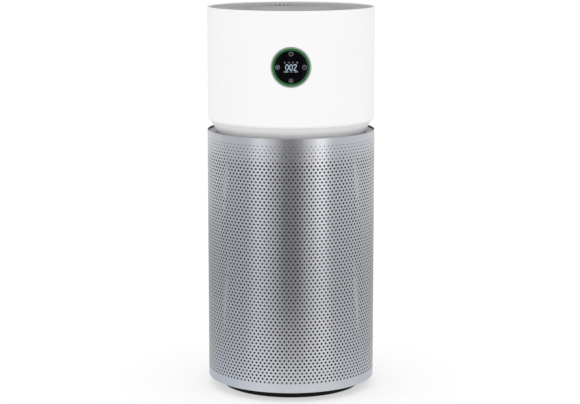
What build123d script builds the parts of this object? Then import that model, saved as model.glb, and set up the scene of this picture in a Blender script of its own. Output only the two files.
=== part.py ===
from build123d import *
import math
import os

os.makedirs("parts", exist_ok=True)

# Air purifier: a perforated drum with a white head on a short neck.
# Millimetres, +Z up, origin on the floor below the middle, display facing -Y.

# ---------------------------------------------------------------- overall sizes
base_height = 17.0
drum_height = 456.0
neck_height = 17.0
head_height = 205.0
drum_radius = 152.0
head_inset = 1.0
base_inset = 25.0

# ---------------------------------------------------------------- walls and gaps
sheet_thickness = 1.2
head_wall = 3.0
neck_wall = 2.5
head_lip = 5.5
neck_foot_inset = 4.5
base_wall = 3.0
tray_floor = 3.0
deck_thickness = 3.0
fit_gap = 0.4
bond_gap = 0.05
press_gap = 0.02
panel_gap = 0.6
screw_gap = 0.1
slide_gap = 0.3

# ---------------------------------------------------------------- lower case
foot_height = 4.0
foot_width = 12.0
foot_inset = 8.0
foot_proud = 2.0
band_height = 18.5
sheet_lip = 3.0
shelf_thickness = 5.0
shelf_width = 20.4
frame_depth = 7.4
post_depth = 3.6
post_angle = 3.2
front_post_spacing = 38.0
hoop_height = 6.0
screw_circle_inset = 57.0
screw_radius = 1.9
screw_head_radius = 3.6
screw_head_height = 2.4
boss_radius = 5.0

# ---------------------------------------------------------------- rear door and latch
door_half_angle = 64.5
door_stile_angle = 4.0
door_frame_depth = 4.0
latch_travel = 3.0
button_width = 34.0
button_height = 12.0
guide_wall = 2.0
bolt_width = 16.0
bolt_depth = 4.5
bolt_tip = 3.4
spring_length = 15.0
spring_radius = 1.55
spring_wire = 0.4
spring_pitch = 2.5

# ---------------------------------------------------------------- filter cartridge
filter_air_gap = 25.0
filter_core_radius = 62.0
filter_cap_height = 10.0
filter_cap_wall = 2.0
filter_seal_height = 6.0
seal_width = 14.0
seal_gap = 0.8
carbon_wall = 4.8
mesh_wall = 1.2
pleat_count = 48
pleat_wall = 1.6
strap_width_angle = 6.0
strap_length = 86.0
strap_thickness = 1.4

# ---------------------------------------------------------------- fan
fan_deck_thickness = 4.0
fan_deck_clearance = 21.0
duct_wall = 3.0
casing_gap = 17.0
eye_radius = 80.0
eye_gap = 2.5
impeller_tip_gap = 16.0
impeller_height = 62.0
blade_count = 11
blade_wall = 2.2
blade_root = 58.0
hub_radius = 8.0
shaft_radius = 3.0
bearing_radius = 8.0
bearing_height = 5.0
running_gap = 0.05
motor_radius = 44.0
motor_height = 34.0
motor_wall = 2.0
motor_screw_inset = 5.5
bracket_thickness = 5.0
bracket_arms = 5
arm_width = 9.0
stator_count = 13
stator_height = 32.0

# ---------------------------------------------------------------- outlet lid
rim_wall = 2.2
lid_recess = 2.0
lid_thickness = 3.0
lid_dish = 2.5
lid_cap_radius = 58.0
slot_count = 84
slot_width = 2.6
slot_inner_radius = 70.0
slot_outer_radius = 114.0
slot_swirl = 10.0

# ---------------------------------------------------------------- display and boards
display_rise = 108.0
bezel_radius = 35.3
bezel_width = 1.8
ring_width = 4.1
glass_gap = 0.15
glass_thickness = 2.4
icon_circle = 23.4
icon_radius = 3.9
icon_stroke = 0.8
mark_thickness = 0.2
digit_width = 5.9
digit_height = 11.0
digit_pitch = 7.0
digit_stroke = 1.0
mark_pitch = 7.2
mark_radius = 1.3
mark_row = 8.3
unit_row = 7.7
board_thickness = 1.6

# ---------------------------------------------------------------- mains inlet
inlet_width = 28.0
inlet_height = 12.4
inlet_depth = 20.0
socket_width = 18.6
socket_height = 9.0
socket_depth = 12.0
pin_radius = 1.2
pin_spacing = 8.6

# ---------------------------------------------------------------- levels
drum_bottom = base_height
drum_top = drum_bottom + drum_height
head_bottom = drum_top + neck_height
head_top = head_bottom + head_height
display_height = head_bottom + display_rise
tray_top = drum_bottom + band_height - deck_thickness
deck_top = tray_top + deck_thickness
shelf_top = drum_top - sheet_lip
shelf_bottom = shelf_top - shelf_thickness
fan_deck_bottom = shelf_bottom - fan_deck_clearance
fan_deck_top = fan_deck_bottom + fan_deck_thickness
seal_top = fan_deck_bottom - seal_gap
filter_top = seal_top - filter_seal_height
filter_bottom = deck_top + slide_gap

# ---------------------------------------------------------------- radii
base_radius = drum_radius - base_inset
sheet_inner = drum_radius - sheet_thickness
tray_radius = sheet_inner - fit_gap
shelf_inner = tray_radius - shelf_width
frame_inner = tray_radius - frame_depth
head_radius = drum_radius - head_inset
head_inner = head_radius - head_wall
casing_outer = head_inner - casing_gap
casing_inner = casing_outer - duct_wall
duct_outer = shelf_inner - 9.0
duct_inner = duct_outer - duct_wall
filter_radius = frame_inner - filter_air_gap
impeller_radius = casing_inner - impeller_tip_gap
foot_outer = base_radius - foot_inset
foot_inner = foot_outer - foot_width
screw_circle = drum_radius - screw_circle_inset

# ---------------------------------------------------------------- helpers


def lathe(profile, arc=360.0, start=0.0):
    """Turn a closed (radius, height) outline about the upright axis."""
    outline = Polyline(*[(r, 0, z) for r, z in profile], close=True)
    body = revolve(make_face(outline), Axis.Z, arc)
    return Rot(0, 0, start) * body


def tube(inner, outer, low, high):
    """Plain ring between two radii and two heights."""
    return lathe([(inner, low), (outer, low), (outer, high), (inner, high)])


def arc_band(inner, outer, low, high, middle, half):
    """Part of a ring, centred on the angle middle and reaching half to each side."""
    profile = [(inner, low), (outer, low), (outer, high), (inner, high)]
    return lathe(profile, 2 * half, middle - half)


def disc(radius, low, high):
    """Plain upright cylinder on the main axis."""
    return Pos(0, 0, (low + high) / 2) * Cylinder(radius, high - low)


def post(x, y, radius, low, high):
    """Upright cylinder at a place in plan."""
    return Pos(x, y, (low + high) / 2) * Cylinder(radius, high - low)


def block(x0, x1, y0, y1, z0, z1):
    """Box between two corners."""
    middle = Pos((x0 + x1) / 2, (y0 + y1) / 2, (z0 + z1) / 2)
    return middle * Box(x1 - x0, y1 - y0, z1 - z0)


def rod_y(x, z, radius, y0, y1):
    """Cylinder lying along Y."""
    return Pos(x, (y0 + y1) / 2, z) * Rot(90, 0, 0) * Cylinder(radius, y1 - y0)


def around(count, radius, start=0.0):
    """Plan positions spread evenly on a circle."""
    spots = []
    for i in range(count):
        angle = math.radians(start + 360.0 * i / count)
        spots.append((radius * math.cos(angle), radius * math.sin(angle)))
    return spots


def polar_point(radius, angle):
    """Plan position at a radius and an angle in degrees."""
    return (radius * math.cos(math.radians(angle)), radius * math.sin(math.radians(angle)))


def save(name, shape):
    """Write one named sub-part."""
    export_step(shape, "parts/" + name + ".step")


# ---------------------------------------------------------------- base


def make_rubber_foot_ring():
    return tube(foot_inner, foot_outer, 0, foot_height)


def screw_spots():
    return around(4, screw_circle, 45.0)


def make_base_plate():
    floor_top = foot_proud + base_wall + 1.0
    body = lathe([
        (0, foot_proud),
        (base_radius - 1.5, foot_proud),
        (base_radius, foot_proud + 1.5),
        (base_radius, drum_bottom),
        (base_radius - base_wall, drum_bottom),
        (base_radius - base_wall, floor_top),
        (0, floor_top),
    ])
    for i in range(8):
        rib = block(20, base_radius - base_wall, -1, 1, floor_top, drum_bottom - 0.5)
        body += Rot(0, 0, 45.0 * i) * rib
    for x, y in screw_spots():
        body += post(x, y, boss_radius, foot_proud, drum_bottom - 0.2)
    groove_top = foot_height + 0.05
    body -= tube(foot_inner - 0.1, foot_outer + 0.1, foot_proud, groove_top)
    for x, y in screw_spots():
        body -= post(x, y, screw_radius + screw_gap, 0, drum_bottom)
        body -= post(x, y, screw_head_radius + 0.4, 0, foot_proud + screw_head_height + 0.4)
    return body


def make_base_screws():
    head_low = foot_proud + 0.4
    head_high = head_low + screw_head_height
    group = []
    for x, y in screw_spots():
        head = post(x, y, screw_head_radius, head_low, head_high)
        recess = block(x - 2, x + 2, y - 0.4, y + 0.4, head_low, head_low + 1.0)
        cross = block(x - 0.4, x + 0.4, y - 2, y + 2, head_low, head_low + 1.0)
        shank = post(x, y, screw_radius, head_high, drum_bottom + 9.0)
        group.append(head - recess - cross + shank)
    return Compound(group)


# ---------------------------------------------------------------- tray and decks


def make_bottom_tray():
    low = drum_bottom
    body = lathe([
        (0, low),
        (tray_radius, low),
        (tray_radius, tray_top),
        (tray_radius - 3.0, tray_top),
        (tray_radius - 3.0, low + tray_floor),
        (0, low + tray_floor),
    ])
    for x, y in screw_spots():
        body += post(x, y, boss_radius, low, low + 11.0)
    for x in (-44, 44):
        for y in (36, 104):
            body += post(x, y, 3.0, low, low + tray_floor + 3.0)
    for x, y in screw_spots():
        body -= post(x, y, screw_radius + screw_gap, low - 1, low + 9.5)
    inlet_half = inlet_width / 2 + fit_gap
    body -= block(-inlet_half, inlet_half, tray_radius - 12, drum_radius, low + tray_floor, tray_top)
    return body


def make_rear_skirt():
    half = door_half_angle - 0.3
    body = arc_band(sheet_inner, drum_radius, drum_bottom + 0.2, deck_top, 90.0, half)
    wide = inlet_width / 2 + 0.2
    return body - block(-wide, wide, 0, drum_radius + 1, inlet_low - 0.2, inlet_high + 0.2)


def make_filter_deck():
    body = disc(tray_radius, tray_top, deck_top)
    body += arc_band(filter_radius + 1.5, filter_radius + 4.5, deck_top, deck_top + 5.0, -90.0, 88.0)
    for i in range(12):
        rib = block(30, filter_radius - 8, -1, 1, tray_top - 1.5, tray_top)
        body += Rot(0, 0, 15.0 + 30.0 * i) * rib
    return body


# ---------------------------------------------------------------- mains inlet and supply
inlet_middle = (drum_bottom + tray_floor + tray_top) / 2
inlet_low = inlet_middle - inlet_height / 2
inlet_high = inlet_middle + inlet_height / 2
inlet_face = drum_radius - 1.1
inlet_back = inlet_face - inlet_depth


def make_mains_inlet():
    half = inlet_width / 2
    body = block(-half, half, inlet_back, inlet_face, inlet_low, inlet_high)
    flat = socket_width / 2 - socket_height / 2
    low = inlet_middle - socket_height / 2
    high = inlet_middle + socket_height / 2
    socket = block(-flat, flat, inlet_face - socket_depth, inlet_face, low, high)
    for x in (-flat, flat):
        socket += rod_y(x, inlet_middle, socket_height / 2, inlet_face - socket_depth, inlet_face)
    body -= socket
    for x in (-pin_spacing / 2, pin_spacing / 2):
        body -= rod_y(x, inlet_middle, pin_radius + 0.02, inlet_back, inlet_face)
    return body


def make_inlet_pins():
    group = []
    for x in (-pin_spacing / 2, pin_spacing / 2):
        pin = rod_y(x, inlet_middle, pin_radius, inlet_back - 3.0, inlet_face - 3.0)
        group.append(pin)
    return Compound(group)


def make_power_board():
    low = drum_bottom + tray_floor + 3.0
    return block(-48, 48, 32, 108, low, low + board_thickness)


def make_power_parts():
    low = drum_bottom + tray_floor + 3.0 + board_thickness
    group = [block(-14, 12, 58, 80, low, low + 6.0)]
    group.append(block(20, 40, 44, 58, low, low + 5.4))
    group.append(block(-40, -30, 40, 100, low, low + 5.0))
    for x in (-6, 6):
        group.append(rod_y(x, low + 3.0, 3.0, 38, 53))
    group.append(block(-20, -8, 88, 100, low, low + 5.0))
    group.append(rod_y(30, low + 2.6, 2.6, 70, 90))
    return Compound(group)


# ---------------------------------------------------------------- front sheet, frame and shelf


def make_front_sheet():
    half = 180.0 - door_half_angle - 0.1
    return arc_band(sheet_inner, drum_radius, drum_bottom + 0.2, drum_top, -90.0, half)


def frame_half_angle():
    return 180.0 - door_half_angle - 0.6


def make_frame_posts():
    inner = tray_radius - post_depth
    edge = frame_half_angle() - post_angle / 2
    group = []
    for angle in (-edge, -2 * front_post_spacing, -front_post_spacing, 0.0,
                  front_post_spacing, 2 * front_post_spacing, edge):
        group.append(arc_band(inner, tray_radius, deck_top, shelf_bottom, -90.0 + angle, post_angle / 2))
    return Compound(group)


def make_frame_hoops():
    outer = tray_radius - post_depth - bond_gap
    middle = (deck_top + shelf_bottom) / 2
    group = []
    for z in (deck_top + bond_gap, middle, shelf_bottom - hoop_height - bond_gap):
        group.append(arc_band(frame_inner, outer, z, z + hoop_height, -90.0, frame_half_angle()))
    return Compound(group)


def make_sheet_top_ring():
    body = lathe([
        (shelf_inner, shelf_bottom),
        (tray_radius, shelf_bottom),
        (tray_radius, shelf_top - 0.8),
        (tray_radius - 0.8, shelf_top),
        (shelf_inner, shelf_top),
    ])
    half = bolt_width / 2 + 0.6
    groove = block(-half, half, bolt_front - 0.8, drum_radius, shelf_bottom, shelf_bottom + bolt_tip + 0.6)
    return body - groove


def make_neck_skirt():
    low = shelf_top + 0.1
    high = head_bottom + 0.2
    foot = shelf_inner + neck_foot_inset
    top = head_radius - head_lip - fit_gap
    bend_radius = (foot + top) / 2 + 0.9
    bend_height = (low + high) / 2 + 0.4
    outer_arc = ThreePointArc((foot, 0, low), (bend_radius, 0, bend_height), (top, 0, high))
    inner_arc = ThreePointArc(
        (top - neck_wall, 0, high + 1.5),
        (bend_radius - neck_wall, 0, bend_height + 1.2),
        (foot - neck_wall, 0, low),
    )
    collar = Polyline(
        (top, 0, high),
        (top, 0, high + 8.0),
        (top - neck_wall, 0, high + 8.0),
        (top - neck_wall, 0, high + 1.5),
    )
    closing = Line((foot - neck_wall, 0, low), (foot, 0, low))
    section = make_face(Curve() + [outer_arc, collar, inner_arc, closing])
    return revolve(section, Axis.Z, 360)


# ---------------------------------------------------------------- rear door
door_bottom = deck_top + panel_gap
guide_half = button_width / 2 + 1.0 + guide_wall
guide_top = shelf_bottom - 0.4
bolt_middle = guide_top - 10.0
bolt_front = drum_radius - 18.0
bolt_back = bolt_front + bolt_depth
bolt_low = bolt_middle - 3.5
guide_bottom = bolt_low - spring_length - guide_wall
guide_front = bolt_front - 3.0
button_back = drum_radius - 4.2
ramp_sum = bolt_back + bolt_middle + 4.0


def make_door_sheet():
    half = door_half_angle - 0.3
    body = arc_band(sheet_inner, drum_radius, door_bottom, drum_top, 90.0, half)
    window = stadium(button_width + 2 * slide_gap, button_height + 2 * slide_gap, 100, drum_radius + 5)
    return body - window


def stadium(width, height, y0, y1):
    """Round-ended bar lying along Y at the height of the latch button."""
    flat = width / 2 - height / 2
    body = block(-flat, flat, y0, y1, bolt_middle - height / 2, bolt_middle + height / 2)
    for x in (-flat, flat):
        body += rod_y(x, bolt_middle, height / 2, y0, y1)
    return body


def door_frame_radii():
    outer = sheet_inner - bond_gap
    return outer - door_frame_depth, outer


def make_door_stiles():
    inner, outer = door_frame_radii()
    middle = door_half_angle - 0.8 - door_stile_angle / 2
    group = []
    for side in (-1, 1):
        angle = 90.0 + side * middle
        group.append(arc_band(inner, outer, door_bottom, guide_top, angle, door_stile_angle / 2))
    return Compound(group)


def make_door_ribs():
    inner, outer = door_frame_radii()
    half = door_half_angle - 0.8 - door_stile_angle - 0.05
    rise = guide_top - door_bottom
    group = [arc_band(inner, outer, door_bottom, door_bottom + 8.0, 90.0, half)]
    for share in (1 / 3, 2 / 3):
        z = door_bottom + rise * share
        group.append(arc_band(inner, outer, z, z + 5.0, 90.0, half))
    near = math.degrees(math.asin((guide_half + 0.2) / inner))
    for side in (-1, 1):
        angle = 90.0 + side * (half + near) / 2
        group.append(arc_band(inner, outer, guide_top - 14.0, guide_top, angle, (half - near) / 2))
    return Compound(group)


def make_latch_guide():
    outer = disc(sheet_inner - bond_gap, guide_bottom, guide_top)
    body = outer & block(-guide_half, guide_half, guide_front, drum_radius, guide_bottom, guide_top)
    hollow = guide_half - guide_wall
    body -= block(-hollow, hollow, guide_front + guide_wall, drum_radius, guide_bottom + guide_wall,
                  guide_top - guide_wall)
    slot = bolt_width / 2 + slide_gap
    body -= block(-slot, slot, bolt_front - slide_gap, bolt_back + slide_gap, guide_top - 3, guide_top + 1)
    cheek_low = bolt_low - latch_travel - 1.0
    for side in (-1, 1):
        near = side * (bolt_width / 2 + slide_gap)
        far = side * (bolt_width / 2 + slide_gap + 2.0)
        body += block(min(near, far), max(near, far), guide_front, bolt_back + 3.0, cheek_low, guide_top)
    return body


def make_latch_button():
    reach = button_back
    cap = stadium(button_width, button_height, reach, drum_radius + 5)
    body = cap & disc(drum_radius - 0.2, bolt_middle - 20, bolt_middle + 20)
    half = bolt_width / 2 - 1.0
    tip = bolt_back + latch_travel + 0.5
    gap = 0.2
    outline = Polyline(
        (0, tip, ramp_sum + gap - tip),
        (0, tip, bolt_middle + 5.0),
        (0, reach, bolt_middle + 5.0),
        (0, reach, ramp_sum + gap - reach),
        close=True,
    )
    wedge = extrude(make_face(outline), half, dir=(1, 0, 0), both=True)
    return body + wedge


def make_latch_bolt():
    half = bolt_width / 2
    ramp_end = bolt_back + 6.0
    outline = Polyline(
        (0, bolt_front, bolt_low),
        (0, ramp_end, bolt_low),
        (0, ramp_end, ramp_sum - ramp_end),
        (0, bolt_back, ramp_sum - bolt_back),
        (0, bolt_back, shelf_bottom + bolt_tip - 1.0),
        (0, bolt_back - 1.0, shelf_bottom + bolt_tip),
        (0, bolt_front, shelf_bottom + bolt_tip),
        close=True,
    )
    return extrude(make_face(outline), half, dir=(1, 0, 0), both=True)


def make_latch_spring():
    start = guide_bottom + guide_wall + 0.1
    height = spring_length - 2 * spring_wire - 0.2
    path = Helix(spring_pitch, height, spring_radius)
    wire_face = Plane(origin=path @ 0, z_dir=path % 0) * Circle(spring_wire)
    coil = sweep(wire_face, path=path, is_frenet=True)
    middle = bolt_front + bolt_depth / 2
    return Pos(0, middle, start + spring_wire) * coil


# ---------------------------------------------------------------- filter cartridge
mesh_outer = filter_radius - filter_cap_wall - 0.3
mesh_inner = mesh_outer - mesh_wall
core_wall_outer = filter_core_radius + filter_cap_wall
carbon_inner = core_wall_outer + 0.3
carbon_outer = carbon_inner + carbon_wall
media_low = filter_bottom + filter_cap_wall + 0.2
media_high = filter_top - filter_cap_wall - 0.2


def make_filter_bottom_cap():
    low = filter_bottom
    rim = low + filter_cap_height
    floor = low + filter_cap_wall
    return lathe([
        (0, low),
        (filter_radius - 1.0, low),
        (filter_radius, low + 1.0),
        (filter_radius, rim),
        (filter_radius - filter_cap_wall, rim),
        (filter_radius - filter_cap_wall, floor),
        (0, floor),
    ])


def make_filter_top_cap():
    high = filter_top
    rim = high - filter_cap_height
    under = high - filter_cap_wall
    return lathe([
        (filter_core_radius, high),
        (filter_radius - 1.0, high),
        (filter_radius, high - 1.0),
        (filter_radius, rim),
        (filter_radius - filter_cap_wall, rim),
        (filter_radius - filter_cap_wall, under),
        (core_wall_outer, under),
        (core_wall_outer, rim),
        (filter_core_radius, rim),
    ])


def make_filter_pleats():
    inner = carbon_outer + 1.2
    outer = mesh_inner - 1.2 - pleat_wall
    front = []
    back = []
    for i in range(2 * pleat_count):
        angle = math.radians(180.0 * i / pleat_count)
        radius = outer if i % 2 == 0 else inner
        front.append(((radius + pleat_wall) * math.cos(angle), (radius + pleat_wall) * math.sin(angle)))
        back.append((radius * math.cos(angle), radius * math.sin(angle)))
    solid_star = make_face(Polyline(*front, close=True))
    inner_star = make_face(Polyline(*back, close=True))
    folded = solid_star - inner_star
    return Pos(0, 0, media_low) * extrude(folded, media_high - media_low)


def make_carbon_core():
    return tube(carbon_inner, carbon_outer, media_low, media_high)


def make_prefilter_mesh():
    return tube(mesh_inner, mesh_outer, media_low, media_high)


def make_filter_seal():
    middle = (filter_core_radius + filter_radius) / 2
    return lathe([
        (middle - seal_width / 2, filter_top),
        (middle + seal_width / 2, filter_top),
        (middle + seal_width / 2, seal_top - 1.5),
        (middle + seal_width / 2 - 1.5, seal_top),
        (middle - seal_width / 2 + 1.5, seal_top),
        (middle - seal_width / 2, seal_top - 1.5),
    ])


def make_pull_strap():
    inner = filter_radius + 0.2
    outer = inner + strap_thickness
    high = filter_top - 2.0
    strap = arc_band(inner, outer, high - strap_length, high, 90.0, strap_width_angle)
    fold = arc_band(inner, outer + 2.0, high - 7.0, high, 90.0, strap_width_angle)
    end = arc_band(inner, outer + 1.2, high - strap_length, high - strap_length + 10.0, 90.0,
                   strap_width_angle)
    return strap + fold + end


# ---------------------------------------------------------------- fan
casing_floor = head_bottom + 5.0
shroud_low = casing_floor + 6.0
plate_top = shroud_low + impeller_height
plate_low = plate_top - 2.5
motor_low = plate_top + 6.0
motor_high = motor_low + motor_height
bracket_high = motor_high + bracket_thickness
stator_low = bracket_high + 8.0
stator_high = stator_low + stator_height
casing_high = stator_high + 6.0


def make_fan_deck():
    body = tube(filter_core_radius - 2.0, filter_radius + 6.0, fan_deck_bottom, fan_deck_top)
    return body + tube(duct_inner - 4.0, duct_inner - 1.0, fan_deck_top, fan_deck_top + 6.0)


def make_fan_casing():
    low = fan_deck_top + 0.1
    bend = head_bottom - 2.0
    return lathe([
        (duct_inner, low),
        (duct_outer, low),
        (duct_outer, bend),
        (casing_outer, casing_floor + 7.0),
        (casing_outer, casing_high),
        (casing_inner, casing_high),
        (casing_inner, casing_floor + 8.5),
        (duct_inner, bend + 2.0),
    ])


def make_fan_inlet_ring():
    outer = duct_inner - 0.2
    low = head_bottom - 6.0
    return lathe([
        (outer, low),
        (outer, low + 3.0),
        (eye_radius + 16.0, low + 3.0),
        (eye_radius + 6.0, low + 6.0),
        (eye_radius + 2.0, low + 12.0),
        (eye_radius + 2.0, shroud_low + 3.0),
        (eye_radius, shroud_low + 3.0),
        (eye_radius, low + 11.0),
        (eye_radius + 4.5, low + 4.2),
        (eye_radius + 15.0, low),
    ])


def shroud_line():
    """Underside of the impeller's shroud, from its eye to its tip."""
    inner = eye_radius + 2.0 + eye_gap
    return [
        (inner, shroud_low),
        (inner, shroud_low + 7.0),
        (inner + 5.0, shroud_low + 15.0),
        (inner + 14.0, shroud_low + 20.0),
        (impeller_radius, shroud_low + 22.0),
    ]


def make_impeller():
    line = shroud_line()
    shroud = lathe(line + [(r, z + 2.2) for r, z in reversed(line[1:])] + [(line[0][0] + 2.0, shroud_low)])
    plate = lathe([
        (hub_radius, plate_low - 14.0),
        (hub_radius + 5.0, plate_low - 14.0),
        (30.0, plate_low - 6.0),
        (55.0, plate_low),
        (impeller_radius, plate_low),
        (impeller_radius, plate_top),
        (55.0, plate_top),
        (30.0, plate_low - 2.0),
        (hub_radius + 5.0, plate_low - 8.0),
        (hub_radius, plate_low - 8.0),
    ])
    root = blade_root
    reach = impeller_radius - 1.5
    room = [(root, shroud_low + 10.0), (line[0][0] - 1.0, shroud_low + 4.0)]
    room += [(r, z + 1.0) for r, z in line[1:-1]]
    room += [(reach, line[-1][1] + 1.0), (reach, plate_low + 1.0), (root, plate_low + 1.0)]
    space = lathe(room)
    path = ThreePointArc(
        (root - 4.0, 4.0),
        polar_point((root + reach) / 2, -20.0),
        polar_point(reach + 4.0, -58.0),
    )
    strip = trace(path, blade_wall)
    long_blade = Pos(0, 0, shroud_low - 2.0) * extrude(strip, plate_top - shroud_low + 4.0)
    blade = (long_blade & space).solids().sort_by(SortBy.VOLUME)[-1]
    blades = [Rot(0, 0, 360.0 * i / blade_count) * blade for i in range(blade_count)]
    return (plate + blades) + shroud


def make_rotor_hub():
    bore = shaft_radius + press_gap
    body = tube(bore, hub_radius - press_gap, plate_low - 16.0, plate_low - 4.0)
    return body + tube(bore, hub_radius + 2.5, plate_low - 16.0, plate_low - 14.0 - press_gap)


def make_motor_shaft():
    return disc(shaft_radius, plate_low - 22.0, motor_high + 3.0)


def make_impeller_nut():
    nut = extrude(RegularPolygon(5.5, 6), 4.0)
    nut = Pos(0, 0, plate_low - 20.2) * nut
    return nut - disc(shaft_radius + press_gap, plate_low - 30.0, plate_low)


def bearing_levels():
    return (motor_low + 0.5, motor_high - 2.0)


def make_motor_housing():
    outer = motor_radius
    inner = outer - motor_wall
    body = lathe([
        (bearing_radius + 0.1, motor_low),
        (outer - 2.0, motor_low),
        (outer, motor_low + 2.0),
        (outer, motor_high),
        (inner, motor_high),
        (inner, motor_low + motor_wall),
        (bearing_radius + 3.0, motor_low + motor_wall),
        (bearing_radius + 3.0, motor_low + 6.5),
        (bearing_radius + 0.1, motor_low + 6.5),
    ])
    for x, y in around(3, outer - motor_screw_inset, 30.0):
        body += post(x, y, 4.0, motor_low + motor_wall, motor_high)
        body -= post(x, y, 1.6, motor_high - 9.0, motor_high + 1.0)
    return body


def make_motor_bearings():
    group = []
    for level in bearing_levels():
        group.append(tube(shaft_radius + running_gap, bearing_radius, level, level + bearing_height))
    return Compound(group)


def make_motor_stator():
    low = motor_low + 9.0
    high = motor_high - 4.0
    body = tube(24.0, 30.0, low, high)
    for i in range(9):
        tooth = block(14.5, 25.0, -2.0, 2.0, low, high)
        body += Rot(0, 0, 40.0 * i) * tooth
    return body


def make_motor_rotor():
    low = motor_low + 9.5
    high = motor_high - 4.5
    return tube(shaft_radius + press_gap, 13.5, low, high)


def make_motor_bracket():
    low = motor_high
    high = bracket_high
    body = disc(motor_radius + 2.0, low + 0.05, high)
    for i in range(bracket_arms):
        arm = block(motor_radius - 2, casing_inner - 0.4, -arm_width / 2, arm_width / 2, low + 0.05, high)
        body += Rot(0, 0, 90.0 + 360.0 * i / bracket_arms) * arm
    body -= disc(bearing_radius + 0.1, low - 1.0, bearing_levels()[1] + bearing_height + 0.1)
    for x, y in around(3, motor_radius - motor_screw_inset, 30.0):
        body -= post(x, y, 1.7, low - 1, high + 1)
    return body


def make_motor_screws():
    group = []
    for x, y in around(3, motor_radius - motor_screw_inset, 30.0):
        shank = post(x, y, 1.5, motor_high - 8.0, bracket_high)
        head = post(x, y, 3.0, bracket_high + 0.05, bracket_high + 2.4)
        shank += post(x, y, 1.5, bracket_high, bracket_high + 1.0)
        slot = block(x - 1.8, x + 1.8, y - 0.35, y + 0.35, bracket_high + 1.4, bracket_high + 3)
        cross = block(x - 0.35, x + 0.35, y - 1.8, y + 1.8, bracket_high + 1.4, bracket_high + 3)
        group.append(head + shank - slot - cross)
    return Compound(group)


def make_stator_vanes():
    inner = motor_radius + 14.0
    body = tube(inner, inner + 2.5, stator_low, stator_high)
    body += lathe([
        (0, stator_high - 2.5),
        (inner, stator_high - 2.5),
        (inner, stator_high),
        (0, stator_high),
    ])
    body += tube(casing_inner - 3.0, casing_inner - 0.4, stator_low, stator_high)
    reach = casing_inner - 1.5 - inner
    middle = inner + 1.0 + reach / 2
    for i in range(stator_count):
        vane = Pos(middle, 0, (stator_low + stator_high) / 2) * Rot(24, 0, 0) * Box(reach, 2.0, stator_height)
        body += Rot(0, 0, 360.0 * i / stator_count) * vane
    return body


# ---------------------------------------------------------------- head


def curved_disc(radius, inner, outer):
    """Round pane that follows the head's wall, between two wall radii."""
    pane = rod_y(0, display_height, radius, -(outer + 5.0), -(inner - 20.0))
    return pane & tube(inner, outer, display_height - radius - 5, display_height + radius + 5)


def make_top_housing():
    low = head_bottom
    lip_inner = head_radius - head_lip
    rim_inner = head_radius - rim_wall
    ledge = head_top - lid_recess - lid_thickness
    body = lathe([
        (head_inner, low + 5.0),
        (lip_inner, low + 3.0),
        (lip_inner, low + 0.4),
        (lip_inner + 0.6, low),
        (head_radius - 2.6, low + 0.9),
        (head_radius - 0.9, low + 2.6),
        (head_radius, low + 5.4),
        (head_radius, head_top - 0.8),
        (head_radius - 0.8, head_top),
        (rim_inner + 0.3, head_top),
        (rim_inner, head_top - 0.3),
        (rim_inner, ledge),
        (head_inner - 4.0, ledge),
        (head_inner - 4.0, ledge - 2.5),
        (head_inner, ledge - 5.0),
    ])
    window = rod_y(0, display_height, bezel_radius + glass_gap, -(head_radius + 5), -(head_inner - 25))
    body -= window
    vent = block(-vent_half - glass_gap, vent_half + glass_gap, head_inner - 20, head_radius + 5,
                 vent_low - glass_gap, vent_high + glass_gap)
    return body - vent


def make_outlet_grille():
    outer = head_radius - rim_wall - fit_gap
    top = head_top - lid_recess
    body = lathe([
        (outer, top - 0.6),
        (outer - 0.6, top),
        (slot_outer_radius + 6.0, top - 0.8),
        (lid_cap_radius, top - lid_dish),
        (lid_cap_radius, top - lid_dish - lid_thickness),
        (slot_outer_radius + 6.0, top - 0.8 - lid_thickness),
        (head_inner - 5.0, top - lid_thickness),
        (outer, top - lid_thickness),
    ])
    length = slot_outer_radius - slot_inner_radius
    middle = (slot_outer_radius + slot_inner_radius) / 2
    slot = Pos(middle, 0, top) * Rot(0, 0, -slot_swirl) * Box(length, slot_width, 20)
    slots = [Rot(0, 0, 360.0 * i / slot_count) * slot for i in range(slot_count)]
    body -= slots
    return body


def make_grille_cap():
    high = head_top - lid_recess - lid_dish
    low = high - lid_thickness
    radius = lid_cap_radius - 0.2
    return lathe([
        (0, low),
        (radius, low),
        (radius, high - 0.5),
        (radius - 0.5, high),
        (radius - 14.0, high - 0.6),
        (0, high - 1.2),
    ])


vent_half = 20.0
vent_low = head_bottom + 30.0
vent_high = vent_low + 34.0


def make_sensor_vent():
    body = tube(head_inner + 0.2, head_radius, vent_low, vent_high)
    body = body & block(-vent_half, vent_half, 0, drum_radius, vent_low, vent_high)
    for i in range(6):
        z = vent_low + 4.5 + 5.0 * i
        body -= block(-vent_half + 4, vent_half - 4, 0, drum_radius, z - 1.1, z + 1.1)
    return body


def make_dust_sensor():
    back = math.sqrt((head_inner - 1.0) ** 2 - 23.0 ** 2)
    front = casing_outer + 1.0
    body = block(-23, 23, front, back, vent_low - 3, vent_high + 3)
    body -= rod_y(8, (vent_low + vent_high) / 2, 4.0, back - 6, back + 1)
    return body


# ---------------------------------------------------------------- display
ring_outer = bezel_radius - bezel_width - glass_gap
ring_inner = ring_outer - ring_width
glass_radius = ring_inner - glass_gap
pane_inner = head_radius - glass_thickness
mark_inner = head_radius + 0.02
mark_outer = mark_inner + mark_thickness


def make_display_bezel():
    outer = curved_disc(bezel_radius, pane_inner, head_radius + 0.3)
    return outer - curved_disc(bezel_radius - bezel_width, pane_inner - 1, head_radius + 1)


def make_light_ring():
    outer = curved_disc(ring_outer, pane_inner, head_radius - 0.1)
    return outer - curved_disc(ring_inner, pane_inner - 1, head_radius + 1)


def make_display_glass():
    return curved_disc(glass_radius, pane_inner, head_radius)


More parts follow.
